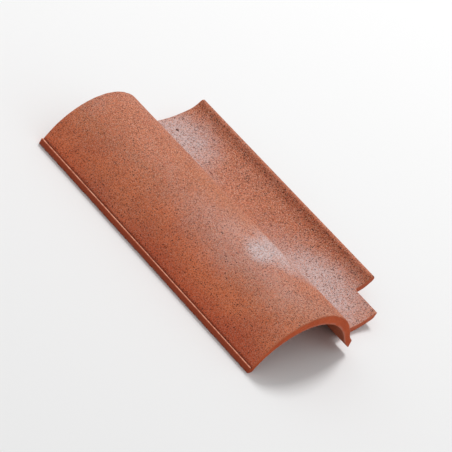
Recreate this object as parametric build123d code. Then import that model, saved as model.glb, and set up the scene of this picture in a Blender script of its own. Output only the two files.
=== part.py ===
import os
from math import asin, atan2, cos, degrees, radians, sin, sqrt, tan

from build123d import *

os.makedirs("parts", exist_ok=True)

# A one-piece S roof tile of fired clay, in millimetres, lying as it rests on a level floor.
# The tail is the exposed lower end of the laid tile, and the head is nailed under the next course.
# While the section is drawn, x is measured from the foot's outer face at the tail and y from the tail.

# Overall size
length = 457.0
width = 330.0

# Roll, the barrel that covers the joint to the neighbour on its left. It narrows towards the head.
roll_radius_tail = 104.5
roll_radius_head = 99.5
roll_height = 82.0
crown_thickness = 16.0

# Foot of the roll, with a bead along its arris and a groove between the bead and the roll
foot_height = 8.5
bead_width = 2.8
bead_rise = 1.5
groove_width = 1.6
groove_depth = 0.6

# Pan, the channel on the right of the roll: the root curves in from the roll, then the floor rises
pan_thickness = 11.0
root_radius = 57.0
rise_radius = 170.0

# Upturned lip along the free edge of the pan
lip_radius = 30.0
lip_angle = 60.0

# Corner notch at the tail, with a front edge that runs back towards the lip
notch_start = 206.0
notch_depth = 24.0
notch_angle = 8.0
notch_corner_radius = 4.0

# End of the lip, set back so that it clears the roll of the course below
lip_cut_start = 298.0
lip_setback = 84.0

# Two nail holes through the pan at the head
nail_hole_radius = 2.5
nail_hole_spacing = 36.0
nail_hole_offset = 8.0
nail_hole_from_head = 25.0

# Rounding of the face's arrises at the cut tail
arris_radius = 1.2

# How far a cutter runs past the tile, and how far the drawn foot runs on before it is cut level
beyond = 10.0
foot_trim = 2.0

# Axes in the section at the tail, which follow from the sizes above
roll_axis_z = roll_height - roll_radius_tail
shoulder_run = sqrt(roll_radius_tail**2 - (foot_height - roll_axis_z) ** 2)
roll_axis_x = bead_width + groove_width + shoulder_run
root_axis_z = pan_thickness + root_radius
root_axis_x = roll_axis_x + sqrt((roll_radius_tail + root_radius) ** 2 - (root_axis_z - roll_axis_z) ** 2)
root_soffit_radius = root_radius + pan_thickness
soffit_height = roll_height - crown_thickness
soffit_half_span = root_axis_x - roll_axis_x
soffit_radius = (soffit_half_span**2 + soffit_height**2) / (2 * soffit_height) - root_soffit_radius

# Directions in which the roll's top and underside meet the root, in degrees, the same all along
flank_angle = degrees(atan2(root_axis_z - roll_axis_z, soffit_half_span))
soffit_angle = degrees(asin((root_axis_z - soffit_height + soffit_radius) / (soffit_radius + root_soffit_radius)))

# Rise of the pan, which ends where the lip's arc touches it
rise_axis_z = pan_thickness + rise_radius
tip_radius = pan_thickness / 2
lip_axis_x = width - tip_radius - (lip_radius + tip_radius) * sin(radians(lip_angle))
rise_angle = degrees(asin((lip_axis_x - root_axis_x) / (rise_radius - lip_radius)))
rise_end = rise_angle - 90
lip_end = lip_angle - 90


def section(y, roll_radius):
    """The S section of the tile at y, as a closed wire that runs clockwise from the foot."""

    def point(x, z):
        return Vector(x, y, z)

    def towards(angle):
        """Unit vector in the section, at an angle in degrees from +x towards +z."""
        return Vector(cos(radians(angle)), 0, sin(radians(angle)))

    def arc(axis, radius, start, end):
        middle = (start + end) / 2
        return Edge.make_three_point_arc(*[axis + radius * towards(a) for a in (start, middle, end)])

    def left_of(axis, radius, z):
        """The point at height z on the left of a circle."""
        return point(axis.X - sqrt(radius**2 - (z - axis.Z) ** 2), z)

    def angle_at(axis, target):
        return degrees(atan2(target.Z - axis.Z, target.X - axis.X))

    # Axes of the arcs, of which those of the roll come closer to the pan as it narrows
    root_axis = point(root_axis_x, root_axis_z)
    roll_axis = root_axis - (roll_radius + root_radius) * towards(flank_angle)
    narrowed_radius = (root_axis.X - roll_axis.X) / cos(radians(soffit_angle)) - root_soffit_radius
    soffit_axis = root_axis - (narrowed_radius + root_soffit_radius) * towards(soffit_angle)
    rise_axis = point(root_axis_x, rise_axis_z)
    lip_axis = rise_axis + (rise_radius - lip_radius) * towards(rise_end)
    tip_axis = lip_axis + (lip_radius + tip_radius) * towards(lip_end)

    # Foot, drawn past the floor and cut level later
    shoulder = left_of(roll_axis, roll_radius, foot_height)
    groove_floor = shoulder - Vector(groove_width / 2, 0, groove_depth)
    bead_end = shoulder - Vector(groove_width, 0, 0)
    bead_crown = bead_end + Vector(-bead_width / 2, 0, bead_rise)
    foot_top = bead_end - Vector(bead_width, 0, 0)
    foot_bottom = foot_top - Vector(0, 0, foot_height + foot_trim)
    soffit_end = left_of(soffit_axis, narrowed_radius, -foot_trim)

    return Wire(
        [
            Edge.make_line(foot_bottom, foot_top),
            Edge.make_three_point_arc(foot_top, bead_crown, bead_end),
            Edge.make_three_point_arc(bead_end, groove_floor, shoulder),
            arc(roll_axis, roll_radius, angle_at(roll_axis, shoulder), flank_angle),
            arc(root_axis, root_radius, flank_angle - 180, -90),
            arc(rise_axis, rise_radius, -90, rise_end),
            arc(lip_axis, lip_radius, rise_end, lip_end),
            arc(tip_axis, tip_radius, lip_end + 180, lip_end),
            arc(lip_axis, lip_radius + pan_thickness, lip_end, rise_end),
            arc(rise_axis, rise_radius + pan_thickness, rise_end, -90),
            arc(root_axis, root_soffit_radius, -90, soffit_angle - 180),
            arc(soffit_axis, narrowed_radius, soffit_angle, angle_at(soffit_axis, soffit_end)),
            Edge.make_line(soffit_end, foot_bottom),
        ]
    )


def tail_cut(start_x, depth, angle=0.0):
    """A cutter from start_x to the free edge, from the tail to a depth that grows towards the lip."""
    far_x = width + beyond
    far_depth = depth + (far_x - start_x) * tan(radians(angle))
    outline = Polyline((start_x, -beyond), (far_x, -beyond), (far_x, far_depth), (start_x, depth), close=True)
    cutter = extrude(make_face(outline), roll_height + 2 * beyond)
    inner_corner = cutter.edges().filter_by(Axis.Z).sort_by_distance((start_x, depth, 0))[0]
    return Pos(0, 0, -beyond) * fillet(inner_corner, notch_corner_radius)


# Body of the tile, ruled from the tail's section to the head's, with its foot cut level
tail_section = section(0, roll_radius_tail)
head_section = section(length, roll_radius_head)
tile = Solid.make_loft([tail_section, head_section], ruled=True)
floor_cut = Box(roll_axis_x, length, beyond, align=(Align.MIN, Align.MIN, Align.MAX))
tile = tile - floor_cut

# Cut ends of the pan and the lip at the tail
tile = tile - tail_cut(notch_start, notch_depth, notch_angle) - tail_cut(lip_cut_start, lip_setback)

# Rounded arrises of the face at the tail, from the roll round the notch to the end of the lip. The
# clay lies just below and behind such an edge. The others, the bead's too, stay sharp, as cut.
def is_face_arris(edge):
    middle = edge.position_at(0.5)
    lengthwise = abs((edge.end_point() - edge.start_point()).Y) > lip_setback
    upright = abs(edge.tangent_at(0.5).Z) > 0.99
    past_foot_at_tail = middle.X > roll_axis_x / 2 and middle.Y < length / 2
    has_clay_below = tile.is_inside(middle + Vector(-0.5, 0.5, -1.0))
    return past_foot_at_tail and has_clay_below and not lengthwise and not upright


tile = fillet([edge for edge in tile.edges() if is_face_arris(edge)], arris_radius)

# Nail holes, in line across the pan at the head
nail_hole_x = root_axis_x + nail_hole_offset
nail_hole_y = length - nail_hole_from_head
for side in (-1, 1):
    hole = Cylinder(nail_hole_radius, roll_height)
    tile = tile - Pos(nail_hole_x + side * nail_hole_spacing / 2, nail_hole_y, 0) * hole

# The origin is under the middle of the tile's box, on the floor
roof_tile = Pos(-width / 2, -length / 2, 0) * tile
export_step(roof_tile, "parts/roof_tile.step")
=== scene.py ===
import math
import random

import bpy
import numpy as np
from mathutils import Matrix, Vector, noise


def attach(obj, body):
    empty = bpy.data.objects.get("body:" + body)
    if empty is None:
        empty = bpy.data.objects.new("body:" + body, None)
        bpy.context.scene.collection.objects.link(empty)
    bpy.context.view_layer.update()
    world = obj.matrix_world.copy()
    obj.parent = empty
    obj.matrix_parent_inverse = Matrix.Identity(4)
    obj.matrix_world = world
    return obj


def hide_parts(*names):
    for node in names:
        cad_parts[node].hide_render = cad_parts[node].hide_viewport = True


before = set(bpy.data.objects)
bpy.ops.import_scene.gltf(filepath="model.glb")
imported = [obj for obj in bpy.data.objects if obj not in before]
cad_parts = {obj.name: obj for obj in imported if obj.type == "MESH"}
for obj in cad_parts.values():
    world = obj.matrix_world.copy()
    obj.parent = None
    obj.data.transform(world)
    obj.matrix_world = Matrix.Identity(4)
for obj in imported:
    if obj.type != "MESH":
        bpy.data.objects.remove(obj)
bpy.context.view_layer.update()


# Sizes in millimetres, as in the part's source. x runs across from the foot's outer face at the tail,
# y from the tail to the head and z up from the floor. "Under" names belong to the underside.

def radius_through(half, rise):
    """Radius of the arc that has this half chord and this rise."""
    return (half**2 + rise**2) / (2 * rise)


LENGTH, WIDTH = 457.0, 330.0
# Roll: radius of its face at the tail and at the head, height of the crown and the wall there
ROLL_TAIL, ROLL_HEAD, ROLL_HEIGHT, CROWN = 104.5, 99.5, 82.0, 16.0
# Foot: height of its side, the bead along its upper arris, the groove beside the bead
FOOT, BEAD, BEAD_RISE, GROOVE, GROOVE_DEPTH = 8.5, 2.8, 1.5, 1.6, 0.6
FOOT_ROUND = 1.2                # radius of the foot's lower arris
# Pan: its thickness, and the face's radii at the root, up the rise and at the lip
PAN, ROOT, RISE, LIP = 11.0, 57.0, 170.0, 30.0
LIP_ANGLE = math.radians(60)
# Cut tail: the notch beside the roll, its raking front edge, and the step to the end of the lip
NOTCH_X, NOTCH_DEPTH, NOTCH_SLOPE = 206.0, 24.0, math.tan(math.radians(8))
LIP_CUT_X, LIP_SETBACK = 298.0, 84.0
CORNER, CORNER_POINTS = 4.0, 7  # radius of the cuts' inner corners, and points along one
# Nail holes at the head, placed from the root's axis
HOLE_RADIUS, HOLE_SPACING, HOLE_OFFSET, HOLE_FROM_HEAD = 2.5, 36.0, 8.0, 25.0
HOLE_SIDES, PUNCH_LENGTH, PUNCH_Z = 32, 60.0, 10.0

# Centres, radii and angles of the section's arcs. The roll's axis is the one at the tail.
AXIS_Z = ROLL_HEIGHT - ROLL_TAIL
AXIS_X = BEAD + GROOVE + math.sqrt(ROLL_TAIL**2 - (FOOT - AXIS_Z) ** 2)
ROOT_Z = PAN + ROOT
ROOT_X = AXIS_X + math.sqrt((ROLL_TAIL + ROOT) ** 2 - (ROOT_Z - AXIS_Z) ** 2)
FLANK = math.atan2(ROOT_Z - AXIS_Z, ROOT_X - AXIS_X)
UNDER_ROOT = ROOT + PAN
UNDER_CREST = ROLL_HEIGHT - CROWN
UNDER_ROLL = radius_through(ROOT_X - AXIS_X, UNDER_CREST) - UNDER_ROOT
UNDER_FLANK = math.asin((ROOT_Z - UNDER_CREST + UNDER_ROLL) / (UNDER_ROLL + UNDER_ROOT))
TIP = PAN / 2
LIP_X = WIDTH - TIP - (LIP + TIP) * math.sin(LIP_ANGLE)
RISE_Z = PAN + RISE
RISE_ANGLE = math.asin((LIP_X - ROOT_X) / (RISE - LIP))
LIP_Z = RISE_Z - (RISE - LIP) * math.cos(RISE_ANGLE)
BOTTOM = -math.pi / 2           # direction of an arc's lowest point

# The mesh is a grid of columns along the tile and rows across it, and both crowd at a cut edge
EDGE, UNDER_EDGE = 1.2, 0.8     # radii of the worn edges of the face and of the underside
SEAM = (0.0, 0.12, 0.45, 1.0)   # shares of EDGE at which rows and columns follow a cut edge
CLOSE = len(SEAM) - 1
COLUMNS_BEAD, COLUMNS_GROOVE, COLUMNS_ROLL, COLUMNS_LIP = 8, 4, 76, 9
COLUMNS_FOOT = COLUMNS_BEAD + COLUMNS_GROOVE
COLUMNS_ROOT = 8, 12            # before and after the notch
COLUMNS_RISE = 20, 3            # before and after the step of the lip
COLUMN_NOTCH = COLUMNS_FOOT + COLUMNS_ROLL + COLUMNS_ROOT[0] + CLOSE
COLUMN_LIP = COLUMN_NOTCH + COLUMNS_ROOT[1] + COLUMNS_RISE[0] + CLOSE
ROWS_NOTCH, ROWS_LIP, ROWS_BODY = 8, 20, 160
ROW_NOTCH = ROWS_NOTCH + CLOSE
ROW_LIP = ROW_NOTCH + ROWS_LIP + CLOSE
WALL_STEPS = 8                  # faces from the top to the underside in a cut wall
SHARP_ANGLE = math.radians(42)
SKIN, UNDERSIDE, CUT = range(3)

# Relief in millimetres. All of it is clay taken away but for the ribs, which swing both ways.
# SIZE is the size of a noise's features.
FRACTAL = 0.8, 2.1              # how fast the octaves of a noise grow weaker and finer
RELIEF_OCTAVES, WEAR_OCTAVES, TEAR_OCTAVES, DRAG_OCTAVES = 2, 3, 3, 2
# Waves of the surfaces: the mean, then layers of depth, size, seed and squeeze along the tile
FACE_TAKE, FACE_LAYERS = 0.16, ((0.14, 90, 3.1, 1.0), (0.05, 16, 9.4, 0.35), (0.03, 7, 5.7, 1.0))
UNDER_TAKE, UNDER_LAYERS = 0.12, ((0.12, 30, 14.2, 0.2),)
UNDER_FADE = 2.0                # height over which the underside's waves fade out towards the floor
# Uneven wear of the rounded edges: how much their radius varies, and its limit as a share of EDGE
WEAR, WEAR_SIZE, WEAR_LIMIT = 0.35, 11, 1.6
FACE_WEAR_SEED, UNDER_WEAR_SEED = 21.0, 33.0
# Chips along the cut ends, and the share of them that marks a surface
CHIPS, CHIP_SEED, CHIP_SHARE, CHIP_FALL = 26, 11, 0.6, 1.6
CHIP_X, CHIP_SIZE, CHIP_DEPTH = (4, 300), (1.5, 4.0), (0.2, 0.9)
# Tears of the foot's lower arris, up to TEAR_LIMIT high, and how they draw in the side and the sole
TEAR_SIZE, TEAR_SEED, TEAR_GAIN, TEAR_START, TEAR_LIMIT = 13, 41.0, 3.0, 0.1, 2.6
SIDE_DRAW, SIDE_TEAR_DRAW, SOLE_DRAW, SOLE_COLUMNS = 0.5, 0.5, 0.5, 6
RIB_DEPTH, RIB_RATE, RIB_START = 0.10, 0.9, 0.3     # faint ribs low on the foot's side face
# Hollow of the cut walls, and the wire's drag along them
WALL_TAKE, WALL_DRAG, DRAG_SIZE, DRAG_SEED = 0.10, 0.08, 5, 57.0

# Marks on the mesh that the materials read
BEAD_COLUMNS, GROOVE_COLUMNS = range(2, 7), range(9, 13)
WEAR_REACH = 1.3                # how far from a cut edge its mark carries
WALL_WEAR_FALL = 6              # how fast it fades down a cut wall
RIM_UNDER, RIM_WALL = 0.6, 0.3  # pale rim round the underside


def arc(cx, cz, radius, start, end, shares, outward):
    """Points and outward normals of an arc, at shares of its sweep."""
    a = start + np.asarray(shares) * (end - start)
    n = np.stack([np.cos(a), np.sin(a)], 1)
    return np.array([cx, cz]) + radius * n, n * outward


def split(n):
    """Shares of a run whose last point is the next run's first."""
    return np.linspace(0, 1, n, endpoint=False)


def edged(share, sweep_length, n_before, n_after):
    """Shares of a run, with close columns just before the cut at `share`."""
    inset = [share - EDGE * s / sweep_length for s in reversed(SEAM[1:])]
    return np.concatenate([np.linspace(0, inset[0], n_before, endpoint=False), inset, [share],
                           np.linspace(share, 1.0, n_after + 1)[1:-1]])


def pan_runs(flank, depth, outward):
    """Root, rise and lip of the face, or of the underside at a depth below it."""
    root, rise = ROOT + depth, RISE + depth
    start = flank - math.pi
    notch = (-math.acos((NOTCH_X - ROOT_X) / root) - start) / (BOTTOM - start)
    step = math.asin((LIP_CUT_X - ROOT_X) / rise) / RISE_ANGLE
    root_shares = edged(notch, root * (math.pi / 2 - flank), *COLUMNS_ROOT)
    rise_shares = edged(step, rise * RISE_ANGLE, *COLUMNS_RISE)
    lip_shares = np.linspace(0, 1, COLUMNS_LIP)
    return [arc(ROOT_X, ROOT_Z, root, start, BOTTOM, root_shares, outward),
            arc(ROOT_X, RISE_Z, rise, BOTTOM, RISE_ANGLE + BOTTOM, rise_shares, outward),
            arc(LIP_X, LIP_Z, LIP + depth, RISE_ANGLE + BOTTOM, LIP_ANGLE + BOTTOM, lip_shares, outward)]


def section(y):
    """Face and underside of the section at y, each as points and normals from the foot to the lip."""
    roll = ROLL_TAIL + (ROLL_HEAD - ROLL_TAIL) * y / LENGTH
    ax, az = ROOT_X - (roll + ROOT) * math.cos(FLANK), ROOT_Z - (roll + ROOT) * math.sin(FLANK)
    under = (ROOT_X - ax) / math.cos(UNDER_FLANK) - UNDER_ROOT
    under_z = ROOT_Z - (under + UNDER_ROOT) * math.sin(UNDER_FLANK)
    shoulder = ax - math.sqrt(roll**2 - (FOOT - az) ** 2)
    left = shoulder - GROOVE - BEAD

    # Bead, a little more than a half round, and groove
    half = BEAD / 2
    radius = radius_through(half, BEAD_RISE)
    swing = math.pi / 2 - math.atan2(BEAD_RISE - radius, half)
    bead = arc(left + half, FOOT + BEAD_RISE - radius, radius,
               math.pi / 2 + swing, math.pi / 2 - swing, split(COLUMNS_BEAD), 1)
    half = GROOVE / 2
    radius = radius_through(half, GROOVE_DEPTH)
    swing = math.asin(half / radius)
    groove = arc(shoulder - half, FOOT - GROOVE_DEPTH + radius, radius,
                 BOTTOM - swing, BOTTOM + swing, split(COLUMNS_GROOVE), -1)
    start = math.pi - math.asin((FOOT - az) / roll)
    face = [bead, groove, arc(ax, az, roll, start, FLANK, split(COLUMNS_ROLL), 1)]
    face += pan_runs(FLANK, 0.0, -1)

    # The foot's level sole, and the soffit
    inner = math.pi + math.asin(under_z / under)
    sole_end = ax + under * math.cos(inner)
    sole_x = left + FOOT_ROUND + (sole_end - left - FOOT_ROUND) * split(COLUMNS_FOOT)
    sole = (np.stack([sole_x, np.zeros(COLUMNS_FOOT)], 1), np.tile([0.0, -1.0], (COLUMNS_FOOT, 1)))
    back = [sole, arc(ax, under_z, under, inner, UNDER_FLANK, split(COLUMNS_ROLL), -1)]
    back += pan_runs(UNDER_FLANK, PAN, 1)
    return [[np.concatenate(parts) for parts in zip(*runs)] for runs in (face, back)]


def rounded_corner(x, y):
    """Plan of the rounded corner of a cut that steps back to y at x."""
    return [(x + CORNER * (1 - math.cos(a)), y - CORNER * (1 - math.sin(a)))
            for a in np.linspace(0, math.pi / 2, CORNER_POINTS)]


# Outline of the cut tail in plan, from beyond the foot, round the notch, to beyond the lip
BEYOND = 20
TAIL_LINE = np.array([(-BEYOND, 0), (NOTCH_X, 0)] + rounded_corner(NOTCH_X, NOTCH_DEPTH)
                     + [(LIP_CUT_X, NOTCH_DEPTH + (LIP_CUT_X - NOTCH_X) * NOTCH_SLOPE)]
                     + rounded_corner(LIP_CUT_X, LIP_SETBACK) + [(WIDTH + BEYOND, LIP_SETBACK)], float)


def stepped(past, depth):
    """How far back a cut lies, at a distance past the step where it begins."""
    if past <= 0:
        return depth - CORNER
    if past < CORNER:
        return depth - CORNER + math.sqrt(CORNER**2 - (past - CORNER) ** 2)
    return depth


def tail_y(x):
    """Where the cut ends of the pan and of the lip lie at x."""
    past = x - NOTCH_X
    front = NOTCH_DEPTH + past * NOTCH_SLOPE if past > CORNER else stepped(past, NOTCH_DEPTH)
    return front, stepped(x - LIP_CUT_X, LIP_SETBACK)


def edge_distance(points):
    """Distance in plan from points to the cut ends of the tile."""
    plan = points[..., :2]
    best = np.abs(LENGTH - points[..., 1])
    for a, b in zip(TAIL_LINE[:-1], TAIL_LINE[1:]):
        d = b - a
        t = np.clip(((plan - a) @ d) / (d @ d), 0, 1)
        best = np.minimum(best, np.linalg.norm(plan - a - t[..., None] * d, axis=-1))
    return best


def field(points, size, seed, octaves, squeeze=(1, 1, 1)):
    """Smooth seeded noise at the points, about -1 to 1, over features of the given size."""
    values = []
    for x, y, z in (points * squeeze).reshape(-1, 3):
        place = Vector((x / size + seed, y / size - seed, z / size + 2 * seed))
        values.append(noise.fractal(place, *FRACTAL, octaves))
    return np.array(values).reshape(points.shape[:-1])


def rows_between(low, high, n, close_end=False):
    """Rows from low to high, close together past low and, if wanted, before high. High is left out."""
    head = [low + EDGE * s for s in SEAM[:-1]]
    tail = [high - EDGE * s for s in reversed(SEAM[1:])] if close_end else []
    last = high - EDGE if close_end else high
    return np.array(head + list(np.linspace(low + EDGE, last, n, endpoint=False)) + tail)


def row_places(columns_x):
    """y of each row in every column, where the columns lie at the given x at the tail."""
    places = []
    for i, x in enumerate(columns_x):
        front, lip = tail_y(x)
        if i <= COLUMN_NOTCH:
            front = NOTCH_DEPTH - CORNER
        if i <= COLUMN_LIP:
            lip = LIP_SETBACK - CORNER
        places.append(np.concatenate([
            rows_between(0.0, front, ROWS_NOTCH), rows_between(front, lip, ROWS_LIP),
            rows_between(lip, LENGTH, ROWS_BODY, close_end=True), [LENGTH]]))
    return np.array(places)


def ruled(tail, head):
    """The ruled surface between two sections, as points and normals by column and row."""
    y = row_places(tail[0][:, 0])
    t = (y / LENGTH)[..., None]
    p, n = (a[:, None] * (1 - t) + b[:, None] * t for a, b in zip(tail, head))
    n /= np.linalg.norm(n, axis=-1, keepdims=True)
    return np.stack([p[..., 0], y, p[..., 1]], -1), np.stack([n[..., 0], 0 * y, n[..., 1]], -1)


def relief(points, take, layers):
    """Depth that the press and the kiln took off, as a mean and layers of noise."""
    for depth, size, seed, along in layers:
        take = take + depth * field(points, size, seed, RELIEF_OCTAVES, (1, along, 1))
    return take


def edge_inset(points, distance, radius, seed):
    """Depth taken off by a rounding of the cut edges that is worn unevenly."""
    wear = field(points, WEAR_SIZE, seed, WEAR_OCTAVES, (1, 1, 0))
    r = np.minimum(radius * (1 + WEAR * wear), EDGE * WEAR_LIMIT)
    round_off = r - np.sqrt(np.maximum(r**2 - (r - np.minimum(distance, r)) ** 2, 0))
    return np.where(distance < r, round_off, 0)


def chip(surfaces):
    """Adds small chips along the cut ends to the insets of the given surfaces."""
    rng = random.Random(CHIP_SEED)
    for _ in range(CHIPS):
        x = rng.uniform(*CHIP_X)
        y = rng.choice([tail_y(x)[0] if x > NOTCH_X else 0.0, LENGTH])
        size, depth = rng.uniform(*CHIP_SIZE), rng.uniform(*CHIP_DEPTH)
        for points, inset in surfaces:
            near = np.hypot(points[..., 0] - x, points[..., 1] - y) / size
            inset += depth * np.exp(-near**2 * CHIP_FALL) * (rng.random() < CHIP_SHARE)


def first_row(i):
    """The first row of column i, behind the notch or the step of the lip."""
    return ROW_LIP if i > COLUMN_LIP else ROW_NOTCH if i > COLUMN_NOTCH else 0


def wall_normal(i, j, last_row):
    """Outward direction, in plan, of the cut wall below the point (i, j)."""
    if j == last_row:
        return np.array([0.0, 1.0, 0.0])
    if (i == COLUMN_NOTCH and 0 < j < ROW_NOTCH) or (i == COLUMN_LIP and ROW_NOTCH < j < ROW_LIP):
        return np.array([1.0, 0.0, 0.0])
    return np.array([0.0, -1.0, 0.0])


def tip_point(a, b, t):
    """The lip's half-round tip, between a on the face and b underneath."""
    thickness = np.linalg.norm(a - b)
    u = (a - b) / thickness
    out = np.array([-u[2], 0, u[0]])
    out = out if out[0] > 0 else -out
    return (a + b) / 2 + thickness / 2 * (math.cos(math.pi * t) * u + math.sin(math.pi * t) * out)


def foot_point(a, b, t, torn):
    """The foot's side face between a and b, over its rounded or torn lower arris."""
    z = a[2] * (1 - t)
    low = FOOT_ROUND + torn
    x_in = 0.0 if z > low else low - math.sqrt(max(low**2 - (low - z) ** 2, 0))
    y = a[1] * (1 - t) + b[1] * t
    rib = RIB_DEPTH * math.sin(y * RIB_RATE) * (t > RIB_START)
    return np.array([a[0] + x_in * (SIDE_DRAW + SIDE_TEAR_DRAW * torn) + rib, y, z])


class Shell:
    """Points with their marks for the materials, and faces with the material of each."""

    def __init__(self):
        self.points, self.faces, self.kinds = [], [], []
        self.marks = {"arris": [], "trim": [], "side": [], "rim": []}

    def add(self, point, **marks):
        self.points.append(point)
        for name, values in self.marks.items():
            values.append(marks.get(name, 0.0))
        return len(self.points) - 1

    def face(self, corners, kind):
        self.faces.append(corners)
        self.kinds.append(kind)


def tile_shell():
    """The whole tile: face, underside and the walls between them."""
    (face_tail, under_tail), (face_head, under_head) = section(0.0), section(LENGTH)
    top, n_top = ruled(face_tail, face_head)
    bot, n_bot = ruled(under_tail, under_head)
    cols, rows = top.shape[:2]
    d_top, d_bot = edge_distance(top), edge_distance(bot)
    top_inset = edge_inset(top, d_top, EDGE, FACE_WEAR_SEED)
    bot_inset = edge_inset(bot, d_bot, UNDER_EDGE, UNDER_WEAR_SEED)
    chip(((top, top_inset), (bot, bot_inset)))
    fade = np.clip(bot[..., 2] / UNDER_FADE, 0, 1)
    top_take, bot_take = relief(top, FACE_TAKE, FACE_LAYERS), relief(bot, UNDER_TAKE, UNDER_LAYERS)
    top = top - n_top * np.maximum(top_inset + top_take, 0)[..., None]
    bot = bot - n_bot * np.maximum(bot_inset + bot_take * fade, 0)[..., None]
    tear = field(bot[0], TEAR_SIZE, TEAR_SEED, TEAR_OCTAVES)
    tear = np.clip(tear * TEAR_GAIN - TEAR_START, 0, TEAR_LIMIT)

    shell = Shell()
    index_top, index_bot = np.full((cols, rows), -1), np.full((cols, rows), -1)
    for i in range(cols):
        # trim marks the bead for a painted highlight and the groove for painted shade.
        trim = 1.0 if i in BEAD_COLUMNS else -1.0 if i in GROOVE_COLUMNS else 0.0
        # side marks the foot's side face, which the bare clay darkens as painted shade.
        side = float(i == 0)
        for j in range(first_row(i), rows):
            worn = math.exp(-d_top[i, j] / WEAR_REACH)
            index_top[i, j] = shell.add(top[i, j], arris=worn, trim=trim, side=side)
            rim = RIM_UNDER * math.exp(-d_bot[i, j] / WEAR_REACH)
            index_bot[i, j] = shell.add(bot[i, j], side=side, rim=rim)
    for i in range(cols - 1):
        for j in range(first_row(i + 1), rows - 1):
            corners = [(i, j), (i + 1, j), (i + 1, j + 1), (i, j + 1)]
            shell.face([index_top[c] for c in corners], SKIN)
            shell.face([index_bot[c] for c in reversed(corners)], UNDERSIDE)

    # Walls all round: tail, notch, front of the pan, step and end of the lip, its tip, head and foot
    ring = [(i, 0) for i in range(COLUMN_NOTCH)]
    ring += [(COLUMN_NOTCH, j) for j in range(ROW_NOTCH)]
    ring += [(i, ROW_NOTCH) for i in range(COLUMN_NOTCH, COLUMN_LIP)]
    ring += [(COLUMN_LIP, j) for j in range(ROW_NOTCH, ROW_LIP)]
    ring += [(i, ROW_LIP) for i in range(COLUMN_LIP, cols - 1)]
    ring += [(cols - 1, j) for j in range(ROW_LIP, rows - 1)]
    ring += [(i, rows - 1) for i in range(cols - 1, 0, -1)]
    ring += [(0, j) for j in range(rows - 1, 0, -1)]
    drag = field(np.array([top[c] for c in ring]), DRAG_SIZE, DRAG_SEED, DRAG_OCTAVES, (1, 1, 0))
    walls = []
    for (i, j), pull in zip(ring, drag):
        a, b = top[i, j], bot[i, j]
        line = [index_top[i, j]]
        for s in range(1, WALL_STEPS):
            t = s / WALL_STEPS
            if i == cols - 1:
                p = tip_point(a, b, t)
            elif i == 0:
                p = foot_point(a, b, t, tear[j])
            else:
                hollow = WALL_TAKE + WALL_DRAG * pull * math.sin(math.pi * t)
                p = a * (1 - t) + b * t - wall_normal(i, j, rows - 1) * hollow
            worn = 1.0 / (1 + WALL_WEAR_FALL * min(t, 1 - t))
            rim = RIM_WALL if s == WALL_STEPS - 1 and 0 < i < cols - 1 else 0.0
            line.append(shell.add(p, arris=worn, side=float(i == 0), rim=rim))
        walls.append(line + [index_bot[i, j]])
    for k, here in enumerate(walls):
        after = (k + 1) % len(walls)
        there = walls[after]
        on_lip = ring[k][0] == cols - 1 and ring[after][0] == cols - 1
        for s in range(WALL_STEPS):
            shell.face([here[s + 1], there[s + 1], there[s], here[s]], SKIN if on_lip else CUT)

    # The torn arris draws in the edge of the foot's sole
    for i in range(SOLE_COLUMNS):
        for j in range(rows):
            k = index_bot[i, j]
            drawn = SOLE_DRAW * tear[j] * (1 - i / SOLE_COLUMNS)
            shell.points[k] = shell.points[k] + np.array([drawn, 0, 0])
    return shell


def to_metres(p):
    """The frame's place of a point in the section's millimetres."""
    return (np.asarray(p) - np.array([WIDTH / 2, LENGTH / 2, 0])) / 1000


shell = tile_shell()
mesh = bpy.data.meshes.new("tile")
mesh.from_pydata([tuple(p) for p in to_metres(shell.points)], [], shell.faces)
mesh.validate()
tile = bpy.data.objects.new("tile", mesh)
bpy.context.scene.collection.objects.link(tile)
mesh.polygons.foreach_set("material_index", shell.kinds)
for name, values in shell.marks.items():
    mesh.attributes.new(name, "FLOAT", "POINT").data.foreach_set("value", np.array(values, np.float32))

# Nail holes
for side in (-1, 1):
    x = ROOT_X + HOLE_OFFSET + side * HOLE_SPACING / 2
    bpy.ops.mesh.primitive_cylinder_add(
        vertices=HOLE_SIDES, radius=HOLE_RADIUS / 1000, depth=PUNCH_LENGTH / 1000,
        location=to_metres([x, LENGTH - HOLE_FROM_HEAD, PUNCH_Z]))
    punch = bpy.context.object
    for _ in range(CUT + 1):    # as many slots as the tile has, so that the holes' walls are cut clay
        punch.data.materials.append(None)
    punch.data.polygons.foreach_set("material_index", [CUT] * len(punch.data.polygons))
    cut = tile.modifiers.new("hole", "BOOLEAN")
    cut.operation, cut.solver, cut.object = "DIFFERENCE", "EXACT", punch
    bpy.context.view_layer.objects.active = tile
    bpy.ops.object.modifier_apply(modifier=cut.name)
    bpy.data.objects.remove(punch)
mesh = tile.data
mesh.polygons.foreach_set("use_smooth", [True] * len(mesh.polygons))
mesh.set_sharp_from_angle(angle=SHARP_ANGLE)


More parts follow.
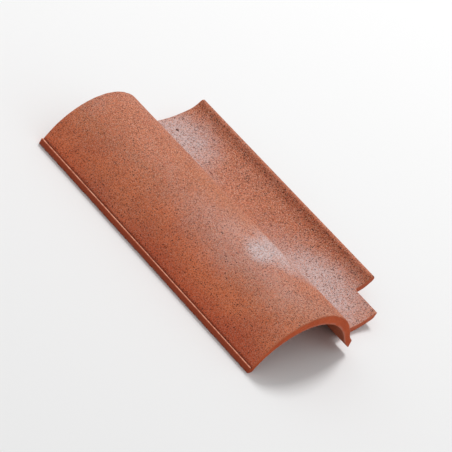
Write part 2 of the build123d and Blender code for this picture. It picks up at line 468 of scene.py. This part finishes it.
# Materials
class Nodes:
    """A node material. Its methods add nodes and return the sockets that hold their results."""

    # Specks: scale and reach, in cells, of the noise that bends them, spread of their sizes, soft edge
    SPECK_WARP, SPECK_PUSH, SPECK_SPREAD, SPECK_EDGE = 1.3, 0.7, 1.6, (0.05, -0.04)
    BLOB_EDGE = 1.15, 0.15      # shares of a blob's half size at which it is none and full

    def __init__(self, name):
        self.material = bpy.data.materials.new(name)
        self.material.use_nodes = True
        self.tree = self.material.node_tree
        self.shader = self.tree.nodes["Principled BSDF"]
        self.place = self.new("ShaderNodeTexCoord").outputs["Object"]

    def new(self, kind):
        return self.tree.nodes.new(kind)

    def feed(self, socket, value):
        """Links a socket's value into another socket, or sets a number or a colour on it."""
        if isinstance(value, (int, float)):
            socket.default_value = value
        elif isinstance(value, tuple):
            socket.default_value = (*value, 1.0)
        else:
            self.tree.links.new(value, socket)

    def vector(self, operation, a, b, c=None):
        """Vector arithmetic on a, the constant b and, for MULTIPLY_ADD, c."""
        node = self.new("ShaderNodeVectorMath")
        node.operation = operation
        self.feed(node.inputs[0], a)
        node.inputs[1].default_value = b
        if c is not None:
            self.feed(node.inputs[2], c)
        return node.outputs[0]

    def noise(self, scale, detail, rough, stretch=None, offset=None):
        """Fractal noise, 0 to 1, at features of about 1/scale metres."""
        node = self.new("ShaderNodeTexNoise")
        node.inputs["Scale"].default_value = scale
        node.inputs["Detail"].default_value = detail
        node.inputs["Roughness"].default_value = rough
        source = self.place
        if stretch:
            mapping = self.new("ShaderNodeMapping")
            mapping.inputs["Scale"].default_value = stretch
            self.feed(mapping.inputs["Vector"], source)
            source = mapping.outputs["Vector"]
        if offset:
            source = self.vector("ADD", source, offset)
        self.feed(node.inputs["Vector"], source)
        return node.outputs["Fac"]

    def ramp(self, value, low, high):
        """0 at low and 1 at high, smooth between. Low may be the larger."""
        node = self.new("ShaderNodeMapRange")
        node.interpolation_type = "SMOOTHSTEP"
        node.inputs["From Min"].default_value = low
        node.inputs["From Max"].default_value = high
        self.feed(node.inputs["Value"], value)
        return node.outputs["Result"]

    def math(self, operation, a, b):
        node = self.new("ShaderNodeMath")
        node.operation = operation
        self.feed(node.inputs[0], a)
        self.feed(node.inputs[1], b)
        return node.outputs[0]

    def times(self, a, b):
        return self.math("MULTIPLY", a, b)

    def plus(self, a, b):
        return self.math("ADD", a, b)

    def line(self, value, slope, start):
        """start + slope * value."""
        return self.plus(self.times(value, slope), start)

    def swing(self, value, reach):
        """A value from 0 to 1 turned into one about zero, from -reach / 2 to reach / 2."""
        return self.times(self.math("SUBTRACT", value, 0.5), reach)

    def mix(self, fac, a, b):
        """Colour a, or b where fac is 1."""
        node = self.new("ShaderNodeMix")
        node.data_type = "RGBA"
        for socket, value in ((node.inputs[0], fac), (node.inputs[6], a), (node.inputs[7], b)):
            self.feed(socket, value)
        return node.outputs[2]

    def axis(self, name):
        node = self.new("ShaderNodeSeparateXYZ")
        self.feed(node.inputs[0], self.place)
        return node.outputs[name]

    def attribute(self, name):
        node = self.new("ShaderNodeAttribute")
        node.attribute_name = name
        return node.outputs["Fac"]

    def specks(self, scale, radius, offset):
        """Irregular spots, each of its own size, in cells of 1/scale metres."""
        warp = self.new("ShaderNodeTexNoise")
        warp.inputs["Scale"].default_value = scale * self.SPECK_WARP
        self.feed(warp.inputs["Vector"], self.place)
        push = (self.SPECK_PUSH / scale,) * 3
        pushed = self.vector("MULTIPLY_ADD", warp.outputs["Color"], push, self.place)
        cells = self.new("ShaderNodeTexVoronoi")
        cells.inputs["Scale"].default_value = scale
        self.feed(cells.inputs["Vector"], self.vector("ADD", pushed, offset))
        parts = self.new("ShaderNodeSeparateColor")
        self.feed(parts.inputs[0], cells.outputs["Color"])
        size = self.times(self.math("POWER", parts.outputs[0], self.SPECK_SPREAD), radius)
        return self.ramp(self.math("SUBTRACT", cells.outputs["Distance"], size), *self.SPECK_EDGE)

    def blob(self, centre, size, wander):
        """1 at the centre of an ellipsoid, 0 outside its wandering edge, in metres."""
        share = self.vector("DIVIDE", self.vector("SUBTRACT", self.place, centre), size)
        length = self.new("ShaderNodeVectorMath")
        length.operation = "LENGTH"
        self.feed(length.inputs[0], share)
        return self.ramp(self.plus(length.outputs["Value"], wander), *self.BLOB_EDGE)

    def bump(self, height, distance, strength, after=None):
        node = self.new("ShaderNodeBump")
        node.inputs["Distance"].default_value = distance
        node.inputs["Strength"].default_value = strength
        self.feed(node.inputs["Height"], height)
        if after is not None:
            self.feed(node.inputs["Normal"], after)
        return node.outputs["Normal"]


def rgb(r, g, b):
    """A screen colour, sRGB from 0 to 255, as a linear one."""
    return tuple((c / 255 / 12.92) if c <= 10 else ((c / 255 + 0.055) / 1.055) ** 2.4 for c in (r, g, b))


# Colours of the fired face
# The third clay colour is painted shade on the low flank beside the groove.
CLAY_LIGHT, CLAY_DARK, CLAY_SHADE_BY_GROOVE = rgb(224, 118, 72), rgb(202, 98, 60), rgb(190, 74, 38)
SLIP_LIGHT, SLIP_DARK, SLIP_MAUVE = rgb(187, 115, 82), rgb(181, 106, 70), rgb(190, 136, 117)
GRAIN_ON_CLAY, GRAIN_ON_SLIP, GRAIN_DARK = rgb(204, 156, 134), rgb(224, 184, 166), rgb(126, 40, 14)
BLUSH, SPECK_FINE, SPECK_COARSE = rgb(209, 199, 201), rgb(80, 24, 6), rgb(46, 20, 12)
SCRATCHED, CHAFED = rgb(104, 38, 24), rgb(186, 98, 62)
# Painted highlight along the bead's crest, and painted shade in the groove.
BEAD_HIGHLIGHT, GROOVE_SHADE = rgb(250, 180, 150), rgb(104, 40, 22)

# Where things begin across the tile: X in metres at which each is none and full
SPRAY_START, SHADE_BY_GROOVE_START, FAR_START = (-0.167, -0.107), (-0.144, -0.156), (-0.11, -0.02)
# The shoulder is where the slip is made paler and mauver as painted light.
LIT_SHOULDER_START, LIT_SHOULDER_END = (-0.140, -0.110), (-0.055, -0.085)

# How strongly each layer covers what is below it. A pair is what it gains, and what it has at least.
SHADE_BY_GROOVE, SLIP_COVER, MAUVE_COVER = 0.60, (0.55, 0.45), (0.35, 0.28)
LIGHT_GRAINS, LIGHT_FAR, DARK_GRAINS, DARK_FAR = 0.42, (0.35, 1.0), 0.52, (0.55, 1.0)
BLUSH_COVER, CLUMPED = (0.60, 0.32), (0.45, 0.55)
FINE_SPECKS, COARSE_SPECKS, SCRATCH_COVER = 0.78, 0.88, 0.94
CHAFE_COVER, BEAD_HIGHLIGHT_COVER, GROOVE_SHADE_COVER = 0.7, (0.62, 0.38), 0.60

# Specks: cells per metre, and their size in a cell, larger on the far side
FINE_SCALE, FINE_SIZE, COARSE_SCALE, COARSE_SIZE = 730, (0.06, 0.46), 430, (0.07, 0.39)

# How far the edges of the spray, in metres, of the blush and of the scratch wander
SPRAY_WANDER, BLUSH_WANDER, SCRATCH_FRAY = 0.10, 0.95, 0.8

# Roughness as what the droplets add and the least, and bumps as depth in metres and strength
SKIN_ROUGHNESS, SKIN_SPECULAR = (0.14, 0.66), 0.3
SKIN_PITS, SKIN_WAVES = (0.0005, 0.55), (0.0012, 0.30)

# Pale blush: centre, half size and strength of each patch, in metres. A band runs from the crown over
# the far flank to the pan's tail, and another lies at the head.
BLUSHES = (
    ((-0.060, -0.0965, 0.081), (0.037, 0.040, 0.07), 0.96),
    ((-0.038, -0.1020, 0.077), (0.036, 0.062, 0.07), 0.86),
    ((-0.086, -0.0760, 0.079), (0.058, 0.140, 0.07), 0.23),
    ((-0.005, -0.1300, 0.062), (0.050, 0.050, 0.07), 0.62),
    ((0.027, -0.1485, 0.034), (0.056, 0.110, 0.05), 0.66),
    ((0.094, -0.1150, 0.012), (0.066, 0.118, 0.06), 0.76),
    ((0.050, 0.1585, 0.020), (0.060, 0.080, 0.06), 0.84),
    ((0.094, 0.1850, 0.012), (0.060, 0.075, 0.06), 0.80),
)

# Drifts of tone under the blush: centre, half size, strength and colour
TINTS = (
    ((-0.045, 0.0250, 0.080), (0.042, 0.130, 0.07), 0.36, rgb(192, 112, 64)),
    ((-0.066, -0.2185, 0.080), (0.050, 0.055, 0.06), 0.34, rgb(166, 118, 100)),
)

# A short dark scratch on the pan, beside the roll and near the head: centre and half size
SCRATCH = (0.0872, 0.1155, 0.0115), (0.0019, 0.0062, 0.010)


def slipped_clay(m, across, spray, drift, droplets):
    """Bare clay on the left flank, and greyer sprayed slip over the crown and the pan. The low flank by
    the groove is darkened as painted shade, and more pale mauve slip lies on the left shoulder as painted
    light.
    """
    clay = m.mix(m.ramp(m.noise(16, 5, 0.6), 0.36, 0.66), CLAY_LIGHT, CLAY_DARK)
    # Painted shade: the low flank beside the groove is darkened.
    clay = m.mix(m.times(m.ramp(across, *SHADE_BY_GROOVE_START), SHADE_BY_GROOVE), clay, CLAY_SHADE_BY_GROOVE)
    slip = m.mix(m.ramp(m.noise(11, 5, 0.6, offset=(4.0, 0.5, 2.0)), 0.38, 0.64), SLIP_LIGHT, SLIP_DARK)
    mauve = m.ramp(m.noise(19, 6, 0.65, offset=(3.1, 1.7, 0.4)), 0.47, 0.70)
    # Painted light: more of the paler mauve slip on the left shoulder, to lighten it.
    shoulder = m.times(m.ramp(drift, *LIT_SHOULDER_START), m.ramp(drift, *LIT_SHOULDER_END))
    slip = m.mix(m.times(m.line(shoulder, *MAUVE_COVER), mauve), slip, SLIP_MAUVE)
    return m.mix(m.times(spray, m.line(droplets, *SLIP_COVER)), clay, slip)


def grained(m, base, spray, far):
    """Light and dark grains, a little stronger towards the far side."""
    light = m.times(m.ramp(m.noise(800, 2, 0.6), 0.52, 0.61), LIGHT_GRAINS)
    light = m.times(light, m.line(far, *LIGHT_FAR))
    base = m.mix(light, base, m.mix(spray, GRAIN_ON_CLAY, GRAIN_ON_SLIP))
    dark = m.times(m.ramp(m.noise(620, 2, 0.6, offset=(6.0, 6.0, 1.0)), 0.52, 0.63), DARK_GRAINS)
    return m.mix(m.times(dark, m.line(far, *DARK_FAR)), base, GRAIN_DARK)


def blushed(m, base, wander):
    """Pale blush over the crown's far side, the tail of the pan and its head."""
    patches = [m.times(m.blob(centre, size, wander), strength) for centre, size, strength in BLUSHES]
    blush = patches[0]
    for patch in patches[1:]:
        blush = m.math("MAXIMUM", blush, patch)
    patchy = m.ramp(m.noise(500, 4, 0.72, offset=(0.7, 5.0, 2.0)), 0.42, 0.56)
    return m.mix(m.times(blush, m.line(patchy, *BLUSH_COVER)), base, BLUSH)


def specked(m, base, fine, far):
    """Iron specks: the fine ones given, and coarse ones that lie in clumps."""
    base = m.mix(m.times(fine, FINE_SPECKS), base, SPECK_FINE)
    coarse = m.specks(COARSE_SCALE, m.line(far, *COARSE_SIZE), (9.0, 4.0, 0.0))
    clumps = m.ramp(m.noise(38, 4, 0.6, offset=(2.0, 8.0, 1.0)), 0.30, 0.56)
    coarse = m.times(coarse, m.line(clumps, *CLUMPED))
    return m.mix(m.times(coarse, COARSE_SPECKS), base, SPECK_COARSE)


def edge_wear_and_trim_light(m, base):
    """Slip worn off the arrises, a painted highlight along the bead's crest, and painted shade in the
    groove.
    """
    chafe = m.ramp(m.plus(m.attribute("arris"), m.times(m.noise(170, 4, 0.6), 0.7)), 0.72, 1.05)
    base = m.mix(m.times(chafe, CHAFE_COVER), base, CHAFED)
    trim = m.attribute("trim")
    # Painted highlight along the bead's crest, broken up by noise.
    bead_highlight = m.line(m.ramp(m.noise(110, 5, 0.7), 0.40, 0.58), *BEAD_HIGHLIGHT_COVER)
    base = m.mix(m.times(m.math("MAXIMUM", trim, 0.0), bead_highlight), base, BEAD_HIGHLIGHT)
    # Painted shade in the groove beside the bead.
    groove = m.math("MAXIMUM", m.times(trim, -1.0), 0.0)
    return m.mix(m.times(groove, GROOVE_SHADE_COVER), base, GROOVE_SHADE)


def skin_material():
    """The fired face: clay under a thin sprayed slip, with iron specks and a pale blush."""
    m = Nodes("clay_skin")
    across = m.axis("X")
    far = m.ramp(across, *FAR_START)
    drift = m.plus(across, m.swing(m.noise(7, 4, 0.6), SPRAY_WANDER))
    spray = m.ramp(drift, *SPRAY_START)
    droplets = m.ramp(m.noise(260, 5, 0.72, offset=(1.0, 3.0, 7.0)), 0.38, 0.60)
    wander = m.swing(m.noise(24, 6, 0.66, offset=(8.0, 1.0, 3.0)), BLUSH_WANDER)
    fray = m.swing(m.noise(420, 3, 0.6), SCRATCH_FRAY)
    fine = m.specks(FINE_SCALE, m.line(far, *FINE_SIZE), (2.0, 1.0, 5.0))

    base = slipped_clay(m, across, spray, drift, droplets)
    for centre, size, strength, tint in TINTS:
        base = m.mix(m.times(m.blob(centre, size, wander), strength), base, tint)
    base = grained(m, base, spray, far)
    base = blushed(m, base, wander)
    base = specked(m, base, fine, far)
    base = m.mix(m.times(m.blob(*SCRATCH, fray), SCRATCH_COVER), base, SCRATCHED)
    m.feed(m.shader.inputs["Base Color"], edge_wear_and_trim_light(m, base))

    m.feed(m.shader.inputs["Roughness"], m.line(droplets, *SKIN_ROUGHNESS))
    m.shader.inputs["Specular IOR Level"].default_value = SKIN_SPECULAR
    pits = m.bump(m.plus(m.noise(520, 4, 0.65), m.times(fine, -0.5)), *SKIN_PITS)
    m.feed(m.shader.inputs["Normal"], m.bump(m.noise(70, 4, 0.55), *SKIN_WAVES, pits))
    return m.material


# Colours of the bare clay, and where they begin: X of the pan, and Z of the scuffed foot
BARE_GRAIN, BARE_GRIT = rgb(205, 122, 84), rgb(96, 50, 36)
RIM, SCUFF = rgb(190, 126, 108), rgb(150, 108, 98)
PAN_START, SCUFF_START = (0.030, 0.055), (0.0034, 0.0014)

# How strongly each layer of the bare clay covers what is below it, its grit, gloss and bumps
STREAKED, BARE_GRAINS, BARE_GRITS = 0.40, 0.30, 0.45
PAN_COVER, SIDE_SHADE_COVER, SCUFF_COVER = 0.5, 0.8, 0.6
GRIT_SCALE, GRIT_SIZE = 520, 0.34
BARE_ROUGHNESS, BARE_SPECULAR = 0.88, 0.2
BARE_PITS, BARE_DRAG = (0.0006, 0.6), (0.0008, 0.5)


def clay_material(name, light, dark, streak, side, pan):
    """Bare fired clay. The streaks are the drag of the die or the wire."""
    m = Nodes(name)
    base = m.mix(m.ramp(m.noise(30, 6, 0.66), 0.28, 0.72), light, dark)
    base = m.mix(m.times(m.ramp(m.noise(60, 5, 0.62, stretch=streak), 0.40, 0.70), STREAKED), base, dark)
    base = m.mix(m.times(m.ramp(m.noise(620, 3, 0.65), 0.52, 0.68), BARE_GRAINS), base, BARE_GRAIN)
    grit = m.specks(GRIT_SCALE, GRIT_SIZE, (1.0, 6.0, 2.0))
    base = m.mix(m.times(grit, BARE_GRITS), base, BARE_GRIT)
    base = m.mix(m.times(m.ramp(m.axis("X"), *PAN_START), PAN_COVER), base, pan)
    base = m.mix(m.times(m.attribute("rim"), m.ramp(m.noise(90, 4, 0.6), 0.40, 0.60)), base, RIM)
    # Painted shade: the foot's side face is darkened towards the side colour.
    on_side = m.attribute("side")
    base = m.mix(m.times(on_side, SIDE_SHADE_COVER), base, side)
    scuff = m.times(m.ramp(m.axis("Z"), *SCUFF_START), m.ramp(m.noise(140, 4, 0.6), 0.46, 0.60))
    base = m.mix(m.times(m.times(scuff, on_side), SCUFF_COVER), base, SCUFF)
    m.feed(m.shader.inputs["Base Color"], base)
    m.shader.inputs["Roughness"].default_value = BARE_ROUGHNESS
    m.shader.inputs["Specular IOR Level"].default_value = BARE_SPECULAR
    pits = m.bump(m.noise(460, 4, 0.65), *BARE_PITS)
    m.feed(m.shader.inputs["Normal"], m.bump(m.noise(90, 4, 0.6, stretch=streak), *BARE_DRAG, pits))
    return m.material


# The side colour of each clay is painted shade on the foot's side face.
underside = clay_material(
    "clay_underside", light=rgb(188, 100, 68), dark=rgb(160, 82, 56), streak=(8, 0.35, 8),
    side=rgb(160, 82, 56), pan=rgb(178, 94, 64))
cut_clay = clay_material(
    "clay_cut", light=rgb(200, 90, 48), dark=rgb(178, 76, 40), streak=(3, 3, 1),
    side=rgb(138, 60, 38), pan=rgb(182, 98, 72))
for material in (skin_material(), underside, cut_clay):     # in the order SKIN, UNDERSIDE, CUT
    mesh.materials.append(material)

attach(tile, "root")
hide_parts("roof_tile")

# Floor and light
FLOOR_SIZE, FLOOR_COLOUR, FLOOR_ROUGHNESS = 60, rgb(236, 236, 236), 0.9
WORLD_STRENGTH = 0.60
KEY_PLACE, KEY_SIZE, KEY_POWER = (2.6, 2.1, 4.5), 1.7, 182

bpy.ops.mesh.primitive_plane_add(size=FLOOR_SIZE, location=(0, 0, 0))
floor = bpy.context.object
floor.name = "floor"
floor_nodes = Nodes("floor")
floor_nodes.shader.inputs["Base Color"].default_value = (*FLOOR_COLOUR, 1)
floor_nodes.shader.inputs["Roughness"].default_value = FLOOR_ROUGHNESS
floor.data.materials.append(floor_nodes.material)

world = bpy.context.scene.world or bpy.data.worlds.new("world")
bpy.context.scene.world = world
world.use_nodes = True
world.node_tree.nodes["Background"].inputs["Color"].default_value = (1, 1, 1, 1)
world.node_tree.nodes["Background"].inputs["Strength"].default_value = WORLD_STRENGTH

key_data = bpy.data.lights.new("key", "AREA")
key_data.shape, key_data.size, key_data.energy = "DISK", KEY_SIZE, KEY_POWER
key = bpy.data.objects.new("key", key_data)
key.location = KEY_PLACE
key.rotation_euler = (-Vector(KEY_PLACE)).to_track_quat("-Z", "Y").to_euler()
bpy.context.scene.collection.objects.link(key)

# Camera, at the photograph's viewing angle and roll
POSITION = Vector((-4.2365, -2.3604, 2.7651))
DOWN = Vector((-0.09516, -0.6481, -0.75559))
AIM = Vector((-0.006, 0.0, 0.030))
FOCAL, SENSOR, CLIP_START, CLIP_END = 330.0, 36.0, 0.1, 100
camera = bpy.data.objects.new("camera", bpy.data.cameras.new("camera"))
forward = (AIM - POSITION).normalized()
down = (DOWN - forward * DOWN.dot(forward)).normalized()
right = down.cross(forward)
camera.matrix_world = Matrix.Translation(POSITION) @ Matrix((right, -down, -forward)).transposed().to_4x4()
camera.data.sensor_width, camera.data.lens = SENSOR, FOCAL
camera.data.clip_start, camera.data.clip_end = CLIP_START, CLIP_END
bpy.context.scene.collection.objects.link(camera)
bpy.context.scene.camera = camera
bpy.context.scene.view_settings.view_transform = "Standard"
